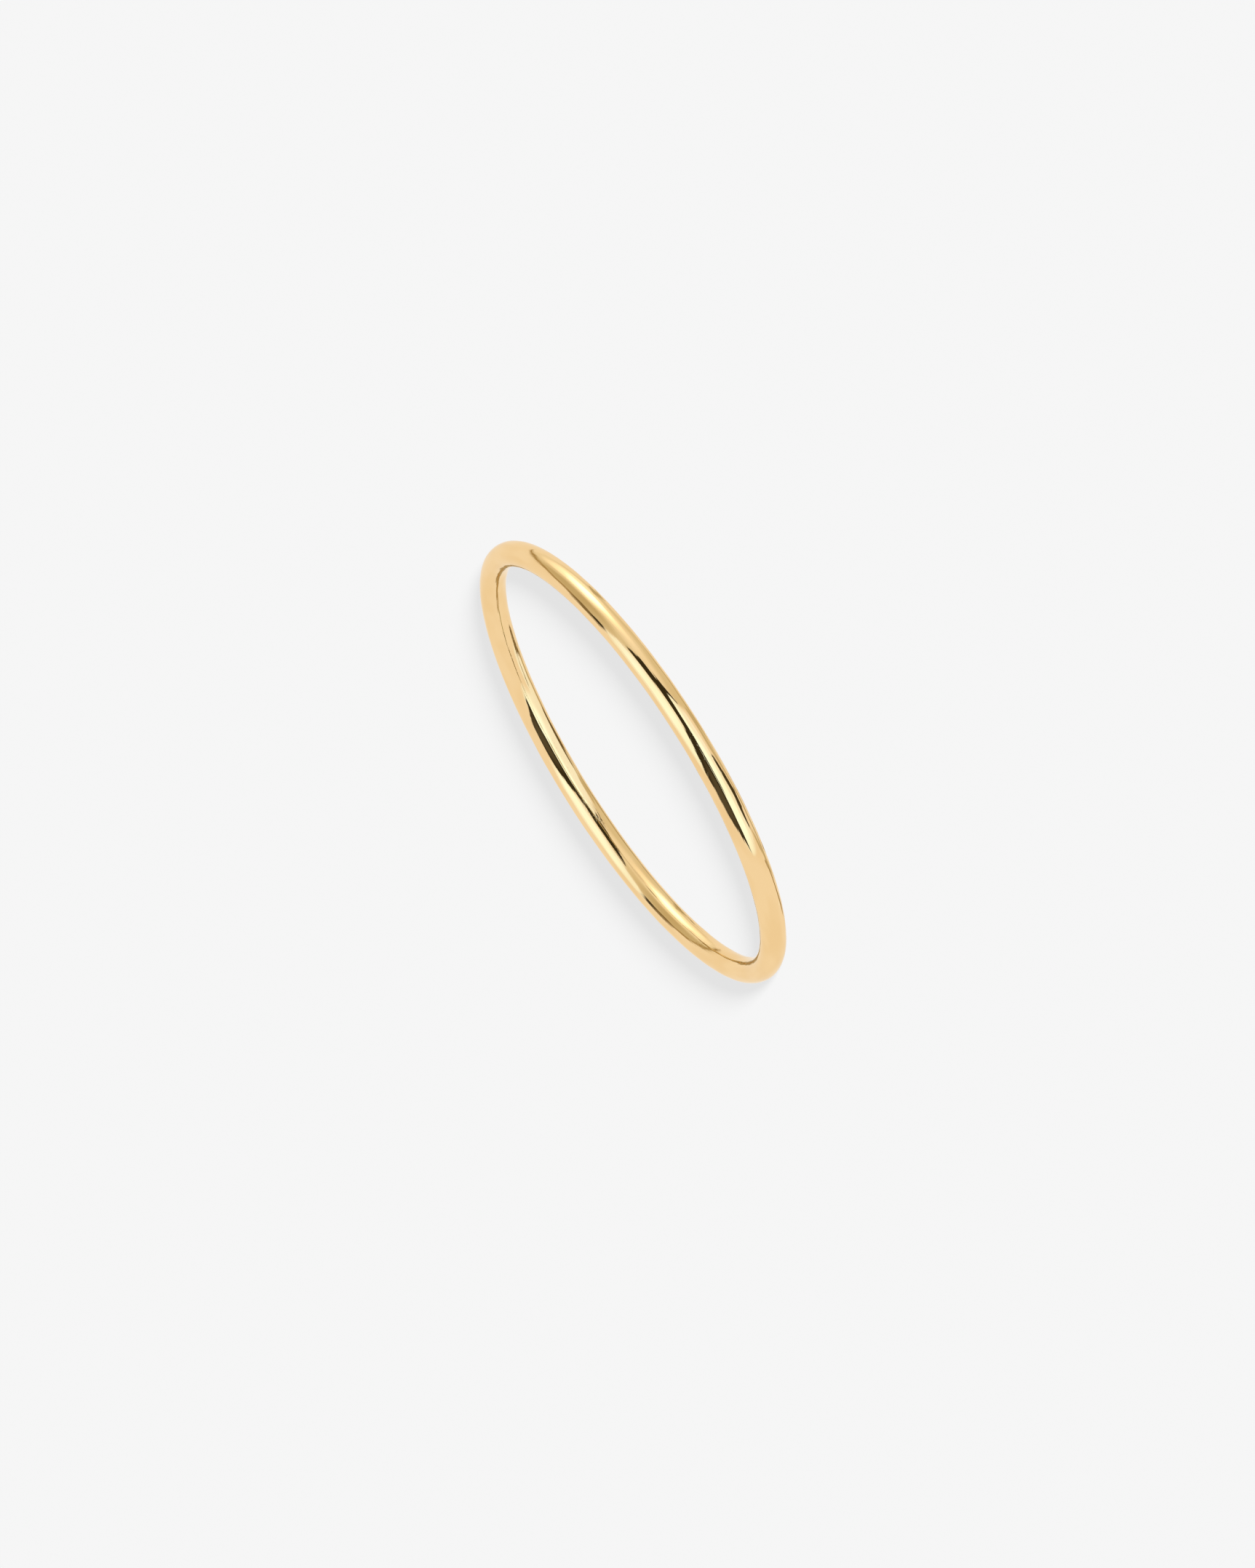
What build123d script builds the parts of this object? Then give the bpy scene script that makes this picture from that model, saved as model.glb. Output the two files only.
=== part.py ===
"""A plain stackable finger ring: one hoop of polished round wire, closed by soldering.

The ring lies on its side. Its axis is +Z, its lowest line is at z = 0, and the origin is on the axis there.
All sizes are in millimetres.
"""

from build123d import *
import math
import os

# Driving dimensions.
FINGER_DIAMETER = 17.35  # inside diameter, ring size 7
WIRE_DIAMETER = 1.0  # round gold wire
MANDREL_STRIP = 0.12  # width of the strip inside that the steel mandrel presses to a true cylinder

# Sizes that follow from them.
INNER_RADIUS = FINGER_DIAMETER / 2
WIRE_RADIUS = WIRE_DIAMETER / 2
WIRE_CENTRE_RADIUS = INNER_RADIUS + math.sqrt(WIRE_RADIUS**2 - (MANDREL_STRIP / 2) ** 2)
OUTER_RADIUS = WIRE_CENTRE_RADIUS + WIRE_RADIUS
MID_HEIGHT = WIRE_RADIUS


def wire_section():
    """The section of the wire: a full circle, but for the narrow straight strip on the finger's side."""
    strip_bottom = (INNER_RADIUS, MID_HEIGHT - MANDREL_STRIP / 2)
    strip_top = (INNER_RADIUS, MID_HEIGHT + MANDREL_STRIP / 2)
    crown = (OUTER_RADIUS, MID_HEIGHT)
    with BuildSketch(Plane.XZ) as section:
        with BuildLine():
            Line(strip_bottom, strip_top)
            ThreePointArc(strip_top, crown, strip_bottom)
        make_face()
    return section.sketch


def band():
    """The whole hoop: the section turned once round the finger's axis, as one closed piece of metal."""
    return revolve(wire_section(), axis=Axis.Z, revolution_arc=360)


os.makedirs("parts", exist_ok=True)
ring = band()
export_step(ring, "parts/band.step")
print("volume", round(ring.volume, 3), "mm3")
print("outside diameter", round(2 * OUTER_RADIUS, 3), "mm")
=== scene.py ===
"""A plain stackable ring of polished gold wire, lying on its side on a pale studio floor.

Everything is in metres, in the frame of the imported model: +Z is the finger's axis and z = 0 is the floor.
"""

import bmesh
import bpy
import math
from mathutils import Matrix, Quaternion, Vector


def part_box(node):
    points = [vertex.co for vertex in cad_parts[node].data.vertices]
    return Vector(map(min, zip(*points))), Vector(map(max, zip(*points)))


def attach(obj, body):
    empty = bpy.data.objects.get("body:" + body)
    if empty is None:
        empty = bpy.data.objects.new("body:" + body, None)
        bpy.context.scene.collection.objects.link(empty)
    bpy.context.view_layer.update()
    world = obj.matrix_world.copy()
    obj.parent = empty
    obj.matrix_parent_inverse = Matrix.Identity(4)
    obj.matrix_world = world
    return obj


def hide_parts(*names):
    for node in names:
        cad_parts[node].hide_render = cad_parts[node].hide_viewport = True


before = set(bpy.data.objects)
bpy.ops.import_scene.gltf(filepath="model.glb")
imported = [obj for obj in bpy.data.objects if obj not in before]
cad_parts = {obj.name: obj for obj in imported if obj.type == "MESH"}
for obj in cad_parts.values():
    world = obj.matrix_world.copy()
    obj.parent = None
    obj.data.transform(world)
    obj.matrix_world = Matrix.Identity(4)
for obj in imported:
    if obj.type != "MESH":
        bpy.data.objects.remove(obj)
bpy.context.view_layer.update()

# ---------------------------------------------------------------------------------------------------------
# The camera. A long lens, which hardly makes the far side smaller, looks at the hoop from low above its
# own plane. It is turned on its own axis, so that the hoop runs from upper left to lower right.

hoop_low, hoop_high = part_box("band")
HOOP_CENTRE = (hoop_low + hoop_high) / 2
HOOP_DIAMETER = hoop_high.x - hoop_low.x
CAMERA_ELEVATION = 15.15  # in degrees, as is the roll
CAMERA_ROLL = -122.2
CAMERA_DISTANCE = 0.8
PICTURE_HEIGHT = 3.0625 * HOOP_DIAMETER  # how much of the scene the picture takes in from bottom to top
HOOP_RIGHT_OF_MIDDLE = 0.000185
HOOP_ABOVE_MIDDLE = 0.00082
SENSOR_MM = 36.0  # the long side of the sensor
NEAREST_DRAWN = 0.01
FARTHEST_DRAWN = 20.0


def direction(azimuth, elevation):
    """From the hoop towards a place in the studio. Azimuth 0 is the camera's side, and +90 is +X."""
    a = math.radians(azimuth)
    e = math.radians(elevation)
    return Vector((math.sin(a) * math.cos(e), -math.cos(a) * math.cos(e), math.sin(e)))


def make_camera():
    data = bpy.data.cameras.new("camera")
    data.sensor_width = SENSOR_MM
    data.lens = SENSOR_MM * CAMERA_DISTANCE / PICTURE_HEIGHT
    data.clip_start = NEAREST_DRAWN
    data.clip_end = FARTHEST_DRAWN
    camera = bpy.data.objects.new("camera", data)
    bpy.context.scene.collection.objects.link(camera)
    back = direction(0, CAMERA_ELEVATION)
    upright = (-back).to_track_quat("-Z", "Y")
    turned = upright @ Quaternion((0, 0, 1), math.radians(CAMERA_ROLL))
    right = turned @ Vector((1, 0, 0))
    up = turned @ Vector((0, 1, 0))
    aim = HOOP_CENTRE - right * HOOP_RIGHT_OF_MIDDLE - up * HOOP_ABOVE_MIDDLE
    camera.rotation_mode = "QUATERNION"
    camera.rotation_quaternion = turned
    camera.location = aim + back * CAMERA_DISTANCE
    bpy.context.scene.camera = camera


make_camera()
bpy.context.scene.view_settings.view_transform = "Standard"

# ---------------------------------------------------------------------------------------------------------
# The floor and the light. A pale matt floor runs on into an even white surround, and one wide soft lamp,
# low on the camera's side, throws a faint shadow behind the hoop. The metal mirrors no floor and no lamp.

FLOOR_SIDE = 6.0
FLOOR_COLOUR = (0.50, 0.50, 0.50, 1)
FLOOR_LIFT = 0.42  # makes the floor as pale as the paper behind a catalogue picture
LIGHT_FROM_SURROUND = 0.70
LIGHT_FROM_LAMP = 0.30  # with the surround, an even light of one on the floor
LAMP_AZIMUTH = 4.0  # these three are in degrees
LAMP_ELEVATION = 8.0
LAMP_WIDTH = 6.0
PAPER = (0.92, 0.92, 0.92, 1)
PALE_WALL = (0.90, 0.89, 0.88, 1)
# Painted shade for the hoop's inside, where one side mirrors the other.
SHADE_SEEN_TWICE = (0.50, 0.565, 0.60, 1)  # dims what one side of the hoop shows by way of the other
MIRRORINGS_UNDIMMED = 1.5  # between one mirroring and two


def dim_when_seen_twice(tree, path):
    """Painted shade: a Mix node that darkens its A where the ray has already met polished metal twice."""
    deep = tree.nodes.new("ShaderNodeMath")
    deep.operation = "GREATER_THAN"
    deep.inputs[1].default_value = MIRRORINGS_UNDIMMED
    dimmed = tree.nodes.new("ShaderNodeMix")
    dimmed.data_type = "RGBA"
    dimmed.blend_type = "MULTIPLY"
    dimmed.inputs["B"].default_value = SHADE_SEEN_TWICE
    tree.links.new(path.outputs["Glossy Depth"], deep.inputs[0])
    tree.links.new(deep.outputs[0], dimmed.inputs["Factor"])
    return dimmed


def make_floor():
    half = FLOOR_SIDE / 2
    corners = [(-half, -half, 0), (half, -half, 0), (half, half, 0), (-half, half, 0)]
    mesh = bpy.data.meshes.new("floor")
    mesh.from_pydata(corners, [], [(0, 1, 2, 3)])
    mesh.update()
    floor = bpy.data.objects.new("floor", mesh)
    bpy.context.scene.collection.objects.link(floor)
    material = bpy.data.materials.new("pale_floor")
    material.use_nodes = True
    tree = material.node_tree
    tree.nodes.clear()
    diffuse = tree.nodes.new("ShaderNodeBsdfDiffuse")
    diffuse.inputs["Color"].default_value = FLOOR_COLOUR
    lift = tree.nodes.new("ShaderNodeEmission")
    path = tree.nodes.new("ShaderNodeLightPath")
    level = tree.nodes.new("ShaderNodeMath")
    level.operation = "MULTIPLY"
    level.inputs[1].default_value = FLOOR_LIFT
    both = tree.nodes.new("ShaderNodeAddShader")
    output = tree.nodes.new("ShaderNodeOutputMaterial")
    tree.links.new(path.outputs["Is Camera Ray"], level.inputs[0])
    tree.links.new(level.outputs[0], lift.inputs["Strength"])
    tree.links.new(diffuse.outputs[0], both.inputs[0])
    tree.links.new(lift.outputs[0], both.inputs[1])
    tree.links.new(both.outputs[0], output.inputs["Surface"])
    mesh.materials.append(material)
    floor.visible_glossy = False


def make_surround():
    world = bpy.data.worlds.new("white_surround")
    world.use_nodes = True
    world.cycles.sampling_method = "NONE"
    bpy.context.scene.world = world
    tree = world.node_tree
    tree.nodes.clear()
    path = tree.nodes.new("ShaderNodeLightPath")
    seen = tree.nodes.new("ShaderNodeMix")
    seen.data_type = "RGBA"
    in_metal = tree.nodes.new("ShaderNodeMix")
    in_metal.data_type = "RGBA"
    level = LIGHT_FROM_SURROUND
    in_metal.inputs["A"].default_value = (level, level, level, 1)
    in_metal.inputs["B"].default_value = PALE_WALL
    seen.inputs["B"].default_value = PAPER
    light = tree.nodes.new("ShaderNodeBackground")
    output = tree.nodes.new("ShaderNodeOutputWorld")
    # Painted shade: the surround is darker where one side of the hoop mirrors the other.
    dimmed = dim_when_seen_twice(tree, path)
    tree.links.new(path.outputs["Is Glossy Ray"], in_metal.inputs["Factor"])
    tree.links.new(in_metal.outputs["Result"], seen.inputs["A"])
    tree.links.new(path.outputs["Is Camera Ray"], seen.inputs["Factor"])
    tree.links.new(seen.outputs["Result"], dimmed.inputs["A"])
    tree.links.new(dimmed.outputs["Result"], light.inputs["Color"])
    tree.links.new(light.outputs[0], output.inputs["Surface"])


def make_lamp():
    data = bpy.data.lights.new("low_soft_lamp", "SUN")
    data.angle = math.radians(LAMP_WIDTH)
    data.energy = math.pi * LIGHT_FROM_LAMP / math.sin(math.radians(LAMP_ELEVATION))
    lamp = bpy.data.objects.new("low_soft_lamp", data)
    bpy.context.scene.collection.objects.link(lamp)
    lamp.rotation_mode = "QUATERNION"
    lamp.rotation_quaternion = (-direction(LAMP_AZIMUTH, LAMP_ELEVATION)).to_track_quat("-Z", "Y")
    lamp.visible_glossy = False


make_floor()
make_surround()
make_lamp()

# ---------------------------------------------------------------------------------------------------------
# The cards. A mirror-bright piece is drawn by what stands round it: white softboxes for long highlights,
# black flags for the dark streaks between them, and a grey wall with one round lamp glowing on it. The two
# sides of the hoop do not mirror all the same things, so some cards hang where only one side sees them.

SOFTBOX_WHITE = (0.87, 1.0, 1.15)
TUBE_WHITE = (0.77, 1.0, 1.20)
LAMP_WHITE = (1.0, 1.0, 1.17)
PALE_GREY = (1.0, 1.0, 0.96)
WARM_GREY = (1.0, 0.98, 0.84)
BROWN_GREY = (1.0, 0.93, 0.68)
BROWN = (1.0, 0.78, 0.40)
BROWN_BLACK = (1.0, 0.85, 0.45)
CARD_FINENESS = 6  # how many times each edge of a card is divided, so that it bends round the hoop
WIRE_RADIUS = (hoop_high.z - hoop_low.z) / 2
WIRE_CENTRE_RADIUS = HOOP_DIAMETER / 2 - WIRE_RADIUS
NEAR_SIDE = 253  # these four are turns round the finger, in degrees from +X
FAR_SIDE = 76
NEAR_LINE_SEEN_FROM = 222
NEAR_LINE_HIDDEN_FROM = 53


def card_material(name, colour, brightness):
    """Light in one colour, which fades to clear glass where the card's cover falls to nothing."""
    material = bpy.data.materials.new(name)
    material.use_nodes = True
    tree = material.node_tree
    tree.nodes.clear()
    cover = tree.nodes.new("ShaderNodeAttribute")
    cover.attribute_name = "cover"
    clear = tree.nodes.new("ShaderNodeBsdfTransparent")
    light = tree.nodes.new("ShaderNodeEmission")
    light.inputs["Strength"].default_value = brightness
    # Painted shade: the card is darker where one side of the hoop mirrors the other.
    dimmed = dim_when_seen_twice(tree, tree.nodes.new("ShaderNodeLightPath"))
    dimmed.inputs["A"].default_value = (*colour, 1)
    tree.links.new(dimmed.outputs["Result"], light.inputs["Color"])
    fade = tree.nodes.new("ShaderNodeMixShader")
    output = tree.nodes.new("ShaderNodeOutputMaterial")
    tree.links.new(cover.outputs["Fac"], fade.inputs["Fac"])
    tree.links.new(clear.outputs[0], fade.inputs[1])
    tree.links.new(light.outputs[0], fade.inputs[2])
    tree.links.new(fade.outputs[0], output.inputs["Surface"])
    return material


def point_on_wire(turn):
    """A point on the wire's centre line, so many degrees round the finger, and the way the wire runs."""
    t = math.radians(turn)
    outward = Vector((math.cos(t), math.sin(t), 0))
    along = Vector((-math.sin(t), math.cos(t), 0))
    return HOOP_CENTRE + outward * WIRE_CENTRE_RADIUS, along


def round_hoop(distance):
    """Where a card's corners go that is bent round the whole hoop, at one distance from its centre."""

    def place(azimuth, elevation):
        return HOOP_CENTRE + direction(azimuth, elevation) * distance

    return place


def edge_on_sheet(seen_from, hidden_from, azimuth, elevation, distance):
    """Where a flat sheet's corners go that one side of the hoop sees and the other has exactly edge-on.

    Azimuth, elevation and distance give the sheet's middle as the side that sees it has it.
    """
    eye, _ = point_on_wire(seen_from)
    blind, along = point_on_wire(hidden_from)
    middle = eye + direction(azimuth, elevation) * distance
    normal = along.cross(middle - blind)

    def place(azimuth, elevation):
        ray = direction(azimuth, elevation)
        return eye + ray * ((middle - eye).dot(normal) / ray.dot(normal))

    return place


def far_side_sheet(distance):
    """A sheet low in front of the hoop that its far side alone sees."""
    return edge_on_sheet(FAR_SIDE, NEAR_SIDE, -45, -58, distance)


def make_card(name, place, colour, brightness, fade, outline):
    """A card with a faded edge. Its outline and the width of that edge are given in degrees.

    It is cut out flat, with azimuth and elevation as x and y and its cover as z, and then put in place.
    """
    sheet = bmesh.new()
    face = sheet.faces.new([sheet.verts.new((azimuth, elevation, 0)) for azimuth, elevation in outline])
    face.normal_update()
    bmesh.ops.inset_individual(sheet, faces=[face], thickness=fade, use_even_offset=True)
    for corner in face.verts:
        corner.co.z = 1
    bmesh.ops.triangulate(sheet, faces=sheet.faces[:])
    bmesh.ops.subdivide_edges(sheet, edges=sheet.edges[:], cuts=CARD_FINENESS, use_grid_fill=True)
    covers = [corner.co.z for corner in sheet.verts]
    for corner in sheet.verts:
        corner.co = place(corner.co.x, corner.co.y)
    mesh = bpy.data.meshes.new(name)
    sheet.to_mesh(mesh)
    sheet.free()
    mesh.attributes.new("cover", "FLOAT", "POINT").data.foreach_set("value", covers)
    mesh.materials.append(card_material(name, colour, brightness))
    card = bpy.data.objects.new(name, mesh)
    bpy.context.scene.collection.objects.link(card)
    card.visible_camera = False
    card.visible_diffuse = False
    card.visible_transmission = False
    card.visible_shadow = False


def oval(azimuth, elevation, half_width, half_height, corners=24):
    """The outline of a round card."""
    turns = [2 * math.pi * corner / corners for corner in range(corners)]
    return [(azimuth + half_width * math.cos(t), elevation + half_height * math.sin(t)) for t in turns]


# Each card has a name, the place it hangs in, a colour, a brightness, the width of its faded edge and its
# outline. First the paper below, the grey wall with its lamp and its shaded edge, and the softbox overhead.
make_card("low_paper", round_hoop(0.90), BROWN_GREY, 0.57, 10,
          [(-200, -100), (200, -100), (200, -62), (120, -60), (20, -58), (-20, -64), (-110, -74),
           (-200, -74)])
make_card("grey_wall", round_hoop(0.80), WARM_GREY, 0.73, 5,
          [(26, -100), (124, -100), (126, -60), (128, -20), (124, 0), (121, 20), (121, 40), (122, 62),
           (105, 61), (90, 58), (75, 54), (60, 49), (47, 43), (38, 30), (30, 0), (20, -20), (8, -40),
           (8, -62)])
make_card("wall_shadow", round_hoop(0.78), BROWN_GREY, 0.57, 20,
          [(58, 8), (90, -2), (128, 4), (128, 70), (100, 66), (80, 60), (62, 52), (52, 36)])
make_card("lamp_haze", round_hoop(0.75), PALE_GREY, 0.92, 22, oval(72, -20, 64, 42))
make_card("lamp_glow", round_hoop(0.70), PALE_GREY, 1.40, 20, oval(82, -19, 38, 29))
make_card("lamp_core", round_hoop(0.65), LAMP_WHITE, 1.95, 12, oval(81, -20, 20, 20))
make_card("overhead_softbox", round_hoop(0.60), SOFTBOX_WHITE, 1.12, 5,
          [(-205, 100), (-205, 80), (-150, 79), (-95, 77), (-60, 74), (-40, 70), (-28, 62), (-15, 52),
           (-5, 40), (2, 27), (16, 26), (30, 30), (45, 36), (60, 45), (75, 51), (90, 55), (105, 57),
           (122, 58), (140, 60), (155, 66), (180, 74), (205, 76), (205, 100)])
make_card("overhead_tube", round_hoop(0.58), TUBE_WHITE, 1.38, 15,
          [(-60, 100), (-50, 70), (-25, 55), (-10, 38), (20, 33), (50, 42), (80, 54), (120, 62),
           (130, 100)])
make_card("wall_edge_shade", round_hoop(0.25), BROWN, 0.40, 4.5,
          [(109, 58), (131, 58), (125, 40), (123, 22), (124, 8), (128, -5), (135, -24), (124, -14),
           (116, 0), (113, 15), (112, 35)])

# The edges of the table, and the shade below the left one.
make_card("left_table_edge", round_hoop(0.56), BROWN_GREY, 0.55, 2.5,
          [(-168, -38), (-145, -47), (-125, -51), (-105, -53), (-85, -52), (-68, -49), (-80, -58),
           (-100, -61), (-122, -60), (-145, -54)])
make_card("low_shade", round_hoop(0.57), BROWN_GREY, 0.48, 5,
          [(-118, -60), (-128, -50), (-142, -49), (-152, -60), (-150, -84), (-110, -84), (-104, -74)])
make_card("right_table_edge", round_hoop(0.55), BROWN_GREY, 0.52, 1.8,
          [(94, -41), (110, -47), (122, -50.5), (136, -51.5), (150, -48.5), (164, -41), (152, -50),
           (136, -54.5), (121, -54.5), (108, -51)])

# The dark rim high on the right.
make_card("rim_shade", round_hoop(0.245), BROWN, 0.22, 5,
          [(98, 58), (112, 62), (128, 61), (139, 56), (136, 49), (126, 43), (114, 43), (104, 49)])
make_card("dark_rim", round_hoop(0.24), BROWN_BLACK, 0.045, 2.2,
          [(89, 55), (100, 59), (112, 61), (122, 61), (132, 58), (124, 55), (114, 53.5), (102, 53)])

# The softbox in front, the black flag that hangs before it, and a flag below for the near side.
make_card("front_softbox", round_hoop(0.20), SOFTBOX_WHITE, 1.13, 6,
          [(-66, 30), (24, 14), (25, 0), (20, -14), (17, -27), (7, -41), (-13, -49), (-30, -52),
           (-68, -50)])
make_card("front_tube", round_hoop(0.18), TUBE_WHITE, 1.42, 12,
          [(-64, 34), (18, 26), (20, -10), (8, -20), (-12, -27), (-30, -29), (-58, -26), (-68, 0)])
make_card("black_flag", round_hoop(0.12), BROWN_BLACK, 0.036, 1.5,
          [(-65, 12.5), (-62, 23), (-59.5, 42), (-61, 56), (-58.5, 64.5), (-51, 69), (-40, 68),
           (-28, 63.5), (-20, 60), (-10, 49), (0, 33), (6, 25), (14, 24), (22, 26), (34, 28.5), (50, 34),
           (45, 20), (38, 5.5), (28, -5), (22, -14), (18, -23), (11, -36), (11, -28), (13, -16), (16, -7),
           (13, -3), (0, 2), (-15, 8), (-30, 12), (-45, 15)])
make_card("flag_sheen", round_hoop(0.118), BROWN_GREY, 0.088, 12,
          [(-58, 22), (-20, 18), (-12, 30), (-20, 50), (-36, 64), (-58, 68), (-72, 62), (-62, 50)])
make_card("low_flag", edge_on_sheet(NEAR_SIDE, FAR_SIDE, -45, -52, 0.020), BROWN_BLACK, 0.06, 1.5,
          [(-65, -40), (-54, -44), (-45, -48), (-32, -44), (-18, -44), (-11, -51), (-13, -60), (-21, -64),
           (-46, -70.5), (-93, -73.5), (-78, -59), (-75, -46)])

# What the far side of the hoop alone sees.
make_card("far_light", far_side_sheet(0.020), SOFTBOX_WHITE, 1.10, 5,
          [(4, -35), (4, -47), (-12, -61), (-24, -71), (-38, -78), (-52, -80.5), (-70, -77), (-88, -72),
           (-103, -64), (-124, -50), (-80, -26), (-57, -29), (-44, -30), (-30, -32), (-12, -34)])
make_card("far_mark", far_side_sheet(0.018), BROWN, 0.15, 1.5,
          [(-58, -77.5), (-56, -71), (-75, -70), (-102, -69.5), (-142, -66), (-158, -65), (-160, -70),
           (-156, -74), (-92, -82)])
make_card("far_fork", far_side_sheet(0.0198), BROWN, 0.12, 0.7,
          [(7.5, -25), (8, -28), (4, -39), (-1.5, -50), (-5, -50.5), (0, -38), (3.5, -28)])

# A fine dark line low on the near side.
near_line_sheet = edge_on_sheet(NEAR_LINE_SEEN_FROM, NEAR_LINE_HIDDEN_FROM, -148, -40, 0.012)
make_card("near_line", near_line_sheet, BROWN, 0.36, 0.8,
          [(-94, -55), (-113, -53), (-127, -48.5), (-137, -43), (-145, -36.5), (-154, -32.5),
           (-154.5, -36), (-150, -43.5), (-141, -50.5), (-129.5, -57), (-110, -62)])

# A brown streak close under the hoop.
make_card("far_streak", round_hoop(0.016), BROWN, 0.22, 1.4,
          [(-158, -47), (-166, -46.5), (-176, -43.5), (-184, -39.5), (-181, -35.5), (-168, -36),
           (-158, -38.5), (-155, -42), (-147, -44.5), (-135, -46.5), (-126, -48.5), (-114, -52.5),
           (-116, -55.5), (-128, -52), (-140, -49), (-150, -48)])

# ---------------------------------------------------------------------------------------------------------
# The band. One length of round gold wire, bent round a mandrel, soldered shut and polished by hand to a
# mirror on a felt wheel. The wheel leaves fine lines along the wire, and faint waves where it took more.

STEPS_ROUND_FINGER = 720
STEPS_ROUND_WIRE = 96
GOLD = (1.0, 0.72, 0.38, 1)
DEEP_GOLD = (0.96, 0.67, 0.33, 1)
EDGE_GOLD = (1.0, 0.93, 0.80, 1)  # keeps the metal's colour where it is seen at a glancing angle
MIRROR_ROUGHNESS = 0.035
WORN_ROUGHNESS = 0.13
WAVE_HEIGHT = 0.000018  # from the deepest hollow to the highest swell that the polishing leaves
WAVES_PER_METRE = 900.0
WAVE_SEED = 7.0
NOISE_MIDDLE = 0.5  # the value Blender's noise swings about
WHEEL_LINE_HEIGHT = 0.0000075
SOFT_HOLLOW_HEIGHT = 0.0000180
SCRATCH_DEPTH = 0.0000005
RUBBED_HAZE = 0.6
SCRATCH_HAZE = 0.5
PATCH_HAZE = 0.4


def add_input(tree, name, kind):
    tree.interface.new_socket(name, in_out="INPUT", socket_type=kind)


def hoop_tree(material):
    """Geometry Nodes: a round wire swept round the finger, with the faint waviness of hand polishing."""
    tree = bpy.data.node_groups.new("bend_wire_round_finger", "GeometryNodeTree")
    add_input(tree, "Wire Radius", "NodeSocketFloat")
    add_input(tree, "Wire Centre Radius", "NodeSocketFloat")
    add_input(tree, "Steps Round Finger", "NodeSocketInt")
    add_input(tree, "Steps Round Wire", "NodeSocketInt")
    add_input(tree, "Height", "NodeSocketFloat")
    add_input(tree, "Wave Height", "NodeSocketFloat")
    add_input(tree, "Waves Per Metre", "NodeSocketFloat")
    add_input(tree, "Seed", "NodeSocketFloat")
    tree.interface.new_socket("Geometry", in_out="OUTPUT", socket_type="NodeSocketGeometry")
    node = tree.nodes.new
    link = tree.links.new
    given = node("NodeGroupInput")

    # The wire's round section, swept round the finger and lifted off the floor.
    circle = node("GeometryNodeCurvePrimitiveCircle")
    upright = node("GeometryNodeSetCurveNormal")
    upright.mode = "Z_UP"
    section = node("GeometryNodeCurvePrimitiveCircle")
    sweep = node("GeometryNodeCurveToMesh")
    height = node("ShaderNodeCombineXYZ")
    lift = node("GeometryNodeTransform")
    smooth = node("GeometryNodeSetShadeSmooth")
    link(given.outputs["Steps Round Finger"], circle.inputs["Resolution"])
    link(given.outputs["Wire Centre Radius"], circle.inputs["Radius"])
    link(given.outputs["Steps Round Wire"], section.inputs["Resolution"])
    link(given.outputs["Wire Radius"], section.inputs["Radius"])
    link(circle.outputs["Curve"], upright.inputs["Curve"])
    link(upright.outputs["Curve"], sweep.inputs["Curve"])
    link(section.outputs["Curve"], sweep.inputs["Profile Curve"])
    link(given.outputs["Height"], height.inputs["Z"])
    link(height.outputs["Vector"], lift.inputs["Translation"])
    link(sweep.outputs["Mesh"], lift.inputs["Geometry"])
    link(lift.outputs["Geometry"], smooth.inputs["Geometry"])

    # The waves, which move its surface a little in and out.
    place = node("GeometryNodeInputPosition")
    noise = node("ShaderNodeTexNoise")
    noise.noise_dimensions = "4D"
    noise.inputs["Detail"].default_value = 1.0
    centred = node("ShaderNodeMath")
    centred.operation = "SUBTRACT"
    centred.inputs[1].default_value = NOISE_MIDDLE
    wave = node("ShaderNodeMath")
    wave.operation = "MULTIPLY"
    normal = node("GeometryNodeInputNormal")
    offset = node("ShaderNodeVectorMath")
    offset.operation = "SCALE"
    shift = node("GeometryNodeSetPosition")
    link(place.outputs["Position"], noise.inputs["Vector"])
    link(given.outputs["Waves Per Metre"], noise.inputs["Scale"])
    link(given.outputs["Seed"], noise.inputs["W"])
    link(noise.outputs["Fac"], centred.inputs[0])
    link(centred.outputs[0], wave.inputs[0])
    link(given.outputs["Wave Height"], wave.inputs[1])
    link(normal.outputs["Normal"], offset.inputs["Vector"])
    link(wave.outputs[0], offset.inputs["Scale"])
    link(smooth.outputs["Geometry"], shift.inputs["Geometry"])
    link(offset.outputs["Vector"], shift.inputs["Offset"])

    # One plain mesh, in gold.
    realize = node("GeometryNodeRealizeInstances")
    paint = node("GeometryNodeSetMaterial")
    paint.inputs["Material"].default_value = material
    result = node("NodeGroupOutput")
    link(shift.outputs["Geometry"], realize.inputs["Geometry"])
    link(realize.outputs["Geometry"], paint.inputs["Geometry"])
    link(paint.outputs["Geometry"], result.inputs["Geometry"])
    return tree


def set_input(modifier, name, value):
    """Give a modifier's named input its value, which Blender keeps under the socket's identifier."""
    for item in modifier.node_group.interface.items_tree:
        if item.name == name and item.in_out == "INPUT":
            modifier[item.identifier] = value


def math_node(tree, operation, *values):
    """A Math node, whose values are numbers or the outputs that feed it."""
    made = tree.nodes.new("ShaderNodeMath")
    made.operation = operation
    for place, value in enumerate(values):
        if isinstance(value, (int, float)):
            made.inputs[place].default_value = value
        else:
            tree.links.new(value, made.inputs[place])
    return made.outputs[0]


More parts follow.
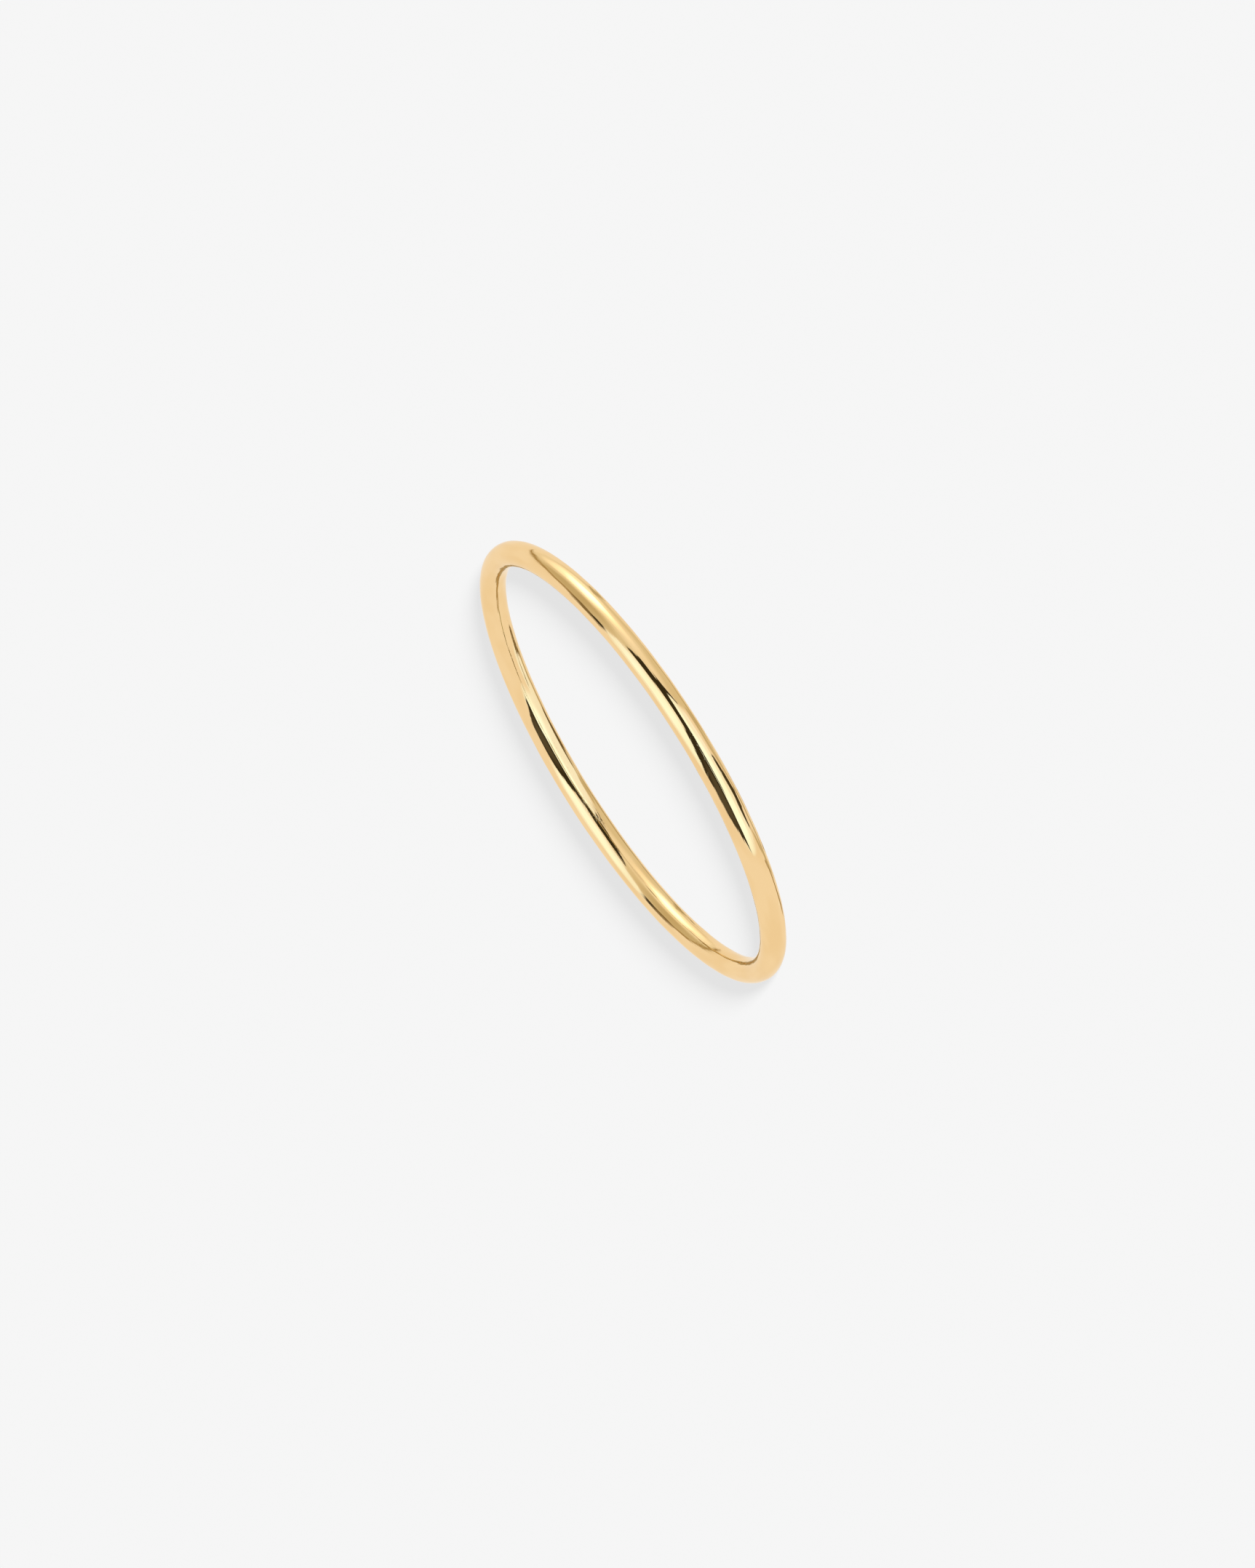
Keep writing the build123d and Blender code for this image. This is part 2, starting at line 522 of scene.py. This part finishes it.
def grain(tree, around, across, twist, across_fineness, along_fineness, detail):
    """Noise that closes on itself both round the finger and round the wire.

    It is as fine as across_fineness across the wire and as along_fineness along it, and twist is how many
    times it winds round the wire in one turn round the finger.
    """
    angle = math_node(tree, "MULTIPLY_ADD", around, twist, across)
    x = math_node(tree, "MULTIPLY", math_node(tree, "COSINE", around), along_fineness)
    y = math_node(tree, "MULTIPLY", math_node(tree, "SINE", around), along_fineness)
    z = math_node(tree, "MULTIPLY", math_node(tree, "COSINE", angle), across_fineness)
    w = math_node(tree, "MULTIPLY", math_node(tree, "SINE", angle), across_fineness)
    place = tree.nodes.new("ShaderNodeCombineXYZ")
    tree.links.new(x, place.inputs["X"])
    tree.links.new(y, place.inputs["Y"])
    tree.links.new(z, place.inputs["Z"])
    noise = tree.nodes.new("ShaderNodeTexNoise")
    noise.noise_dimensions = "4D"
    noise.inputs["Scale"].default_value = 1.0
    noise.inputs["Detail"].default_value = detail
    tree.links.new(place.outputs["Vector"], noise.inputs["Vector"])
    tree.links.new(w, noise.inputs["W"])
    return noise.outputs["Fac"]


def smooth_step(tree, value, low, high):
    """A smooth rise from 0 at low to 1 at high, which may also be the smaller of the two."""
    step = tree.nodes.new("ShaderNodeMapRange")
    step.interpolation_type = "SMOOTHSTEP"
    step.inputs["From Min"].default_value = low
    step.inputs["From Max"].default_value = high
    tree.links.new(value, step.inputs["Value"])
    return step.outputs["Result"]


def hand_polish():
    """What a felt wheel and wear leave on the wire: a height in metres, and masks for haze and tone."""
    tree = bpy.data.node_groups.new("hand_polish", "ShaderNodeTree")
    add_input(tree, "Vector", "NodeSocketVector")
    add_input(tree, "Wire Centre Radius", "NodeSocketFloat")
    add_input(tree, "Height Of Centre", "NodeSocketFloat")
    for name in ("Relief", "Haze", "Tone"):
        tree.interface.new_socket(name, in_out="OUTPUT", socket_type="NodeSocketFloat")
    given = tree.nodes.new("NodeGroupInput")
    result = tree.nodes.new("NodeGroupOutput")

    # Where a point lies, as its turn round the finger and its turn round the wire.
    point = tree.nodes.new("ShaderNodeSeparateXYZ")
    flat = tree.nodes.new("ShaderNodeVectorMath")
    flat.operation = "MULTIPLY"
    flat.inputs[1].default_value = (1, 1, 0)
    reach = tree.nodes.new("ShaderNodeVectorMath")
    reach.operation = "LENGTH"
    tree.links.new(given.outputs["Vector"], point.inputs["Vector"])
    tree.links.new(given.outputs["Vector"], flat.inputs[0])
    tree.links.new(flat.outputs["Vector"], reach.inputs[0])
    around = math_node(tree, "ARCTAN2", point.outputs["Y"], point.outputs["X"])
    outward = math_node(tree, "SUBTRACT", reach.outputs["Value"], given.outputs["Wire Centre Radius"])
    upward = math_node(tree, "SUBTRACT", point.outputs["Z"], given.outputs["Height Of Centre"])
    across = math_node(tree, "ARCTAN2", upward, outward)

    def hoop_grain(twist, across_fineness, along_fineness, detail):
        return grain(tree, around, across, twist, across_fineness, along_fineness, detail)

    def thin_lines(field, width):
        """Fine lines where the field passes through its middle."""
        off = math_node(tree, "ABSOLUTE", math_node(tree, "SUBTRACT", field, NOISE_MIDDLE))
        return smooth_step(tree, off, low=width, high=width / 4)

    # The wheel's lines and the hollows it leaves, scratches that wind both ways, and worn patches.
    wheel_lines = hoop_grain(twist=0, across_fineness=5.0, along_fineness=1.2, detail=2.0)
    soft_hollows = hoop_grain(twist=0, across_fineness=1.1, along_fineness=5.0, detail=1.0)
    scratch_field = hoop_grain(twist=9, across_fineness=2.6, along_fineness=3.0, detail=0.0)
    counter_field = hoop_grain(twist=-7, across_fineness=2.2, along_fineness=2.6, detail=0.0)
    worn_patches = hoop_grain(twist=0, across_fineness=0.8, along_fineness=2.4, detail=2.0)

    # Its height, with scratches where the band has worn.
    scratched = smooth_step(tree, worn_patches, low=0.48, high=0.66)
    scratches = thin_lines(scratch_field, width=0.012)
    scratches = math_node(tree, "MAXIMUM", scratches, thin_lines(counter_field, width=0.010))
    scratches = math_node(tree, "MULTIPLY", scratches, scratched)
    relief = math_node(tree, "MULTIPLY", wheel_lines, WHEEL_LINE_HEIGHT)
    relief = math_node(tree, "MULTIPLY_ADD", soft_hollows, SOFT_HOLLOW_HEIGHT, relief)
    relief = math_node(tree, "MULTIPLY_ADD", scratches, -SCRATCH_DEPTH, relief)
    tree.links.new(relief, result.inputs["Relief"])

    # Its haze, most on the two faces that rub on other bands, and its tone.
    side = math_node(tree, "ABSOLUTE", math_node(tree, "SINE", across))
    rubbed = math_node(tree, "MULTIPLY", smooth_step(tree, side, low=0.80, high=1.0), scratched)
    haze = math_node(tree, "MULTIPLY", scratches, SCRATCH_HAZE)
    haze = math_node(tree, "MULTIPLY_ADD", rubbed, RUBBED_HAZE, haze)
    haze = math_node(tree, "MULTIPLY_ADD", worn_patches, PATCH_HAZE, haze)
    tree.links.new(haze, result.inputs["Haze"])
    tree.links.new(smooth_step(tree, soft_hollows, low=0.35, high=0.70), result.inputs["Tone"])
    return tree


def polished_gold():
    material = bpy.data.materials.new("hand_polished_gold")
    material.use_nodes = True
    tree = material.node_tree
    shader = tree.nodes["Principled BSDF"]
    shader.inputs["Metallic"].default_value = 1.0
    shader.inputs["Specular Tint"].default_value = EDGE_GOLD
    place = tree.nodes.new("ShaderNodeTexCoord")
    polish = tree.nodes.new("ShaderNodeGroup")
    polish.node_tree = hand_polish()
    polish.inputs["Wire Centre Radius"].default_value = WIRE_CENTRE_RADIUS
    polish.inputs["Height Of Centre"].default_value = HOOP_CENTRE.z
    colour = tree.nodes.new("ShaderNodeMix")
    colour.data_type = "RGBA"
    colour.inputs["A"].default_value = GOLD
    colour.inputs["B"].default_value = DEEP_GOLD
    roughness = tree.nodes.new("ShaderNodeMapRange")
    roughness.inputs["To Min"].default_value = MIRROR_ROUGHNESS
    roughness.inputs["To Max"].default_value = WORN_ROUGHNESS
    bump = tree.nodes.new("ShaderNodeBump")
    bump.inputs["Distance"].default_value = 1.0
    tree.links.new(place.outputs["Object"], polish.inputs["Vector"])
    tree.links.new(polish.outputs["Tone"], colour.inputs["Factor"])
    tree.links.new(polish.outputs["Haze"], roughness.inputs["Value"])
    tree.links.new(polish.outputs["Relief"], bump.inputs["Height"])
    tree.links.new(colour.outputs["Result"], shader.inputs["Base Color"])
    tree.links.new(roughness.outputs["Result"], shader.inputs["Roughness"])
    tree.links.new(bump.outputs["Normal"], shader.inputs["Normal"])
    return material


def make_band():
    maker = bpy.data.objects.new("band_maker", bpy.data.meshes.new("band_maker"))
    bpy.context.scene.collection.objects.link(maker)
    modifier = maker.modifiers.new("bend", "NODES")
    modifier.node_group = hoop_tree(polished_gold())
    set_input(modifier, "Wire Radius", WIRE_RADIUS)
    set_input(modifier, "Wire Centre Radius", WIRE_CENTRE_RADIUS)
    set_input(modifier, "Steps Round Finger", STEPS_ROUND_FINGER)
    set_input(modifier, "Steps Round Wire", STEPS_ROUND_WIRE)
    set_input(modifier, "Height", HOOP_CENTRE.z)
    set_input(modifier, "Wave Height", WAVE_HEIGHT)
    set_input(modifier, "Waves Per Metre", WAVES_PER_METRE)
    set_input(modifier, "Seed", WAVE_SEED)
    depsgraph = bpy.context.evaluated_depsgraph_get()
    mesh = bpy.data.meshes.new_from_object(maker.evaluated_get(depsgraph))
    mesh.name = "polished_band"
    bpy.data.objects.remove(maker)
    band = bpy.data.objects.new("polished_band", mesh)
    bpy.context.scene.collection.objects.link(band)
    return band


band = make_band()
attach(band, "root")
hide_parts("band")
band.visible_diffuse = False
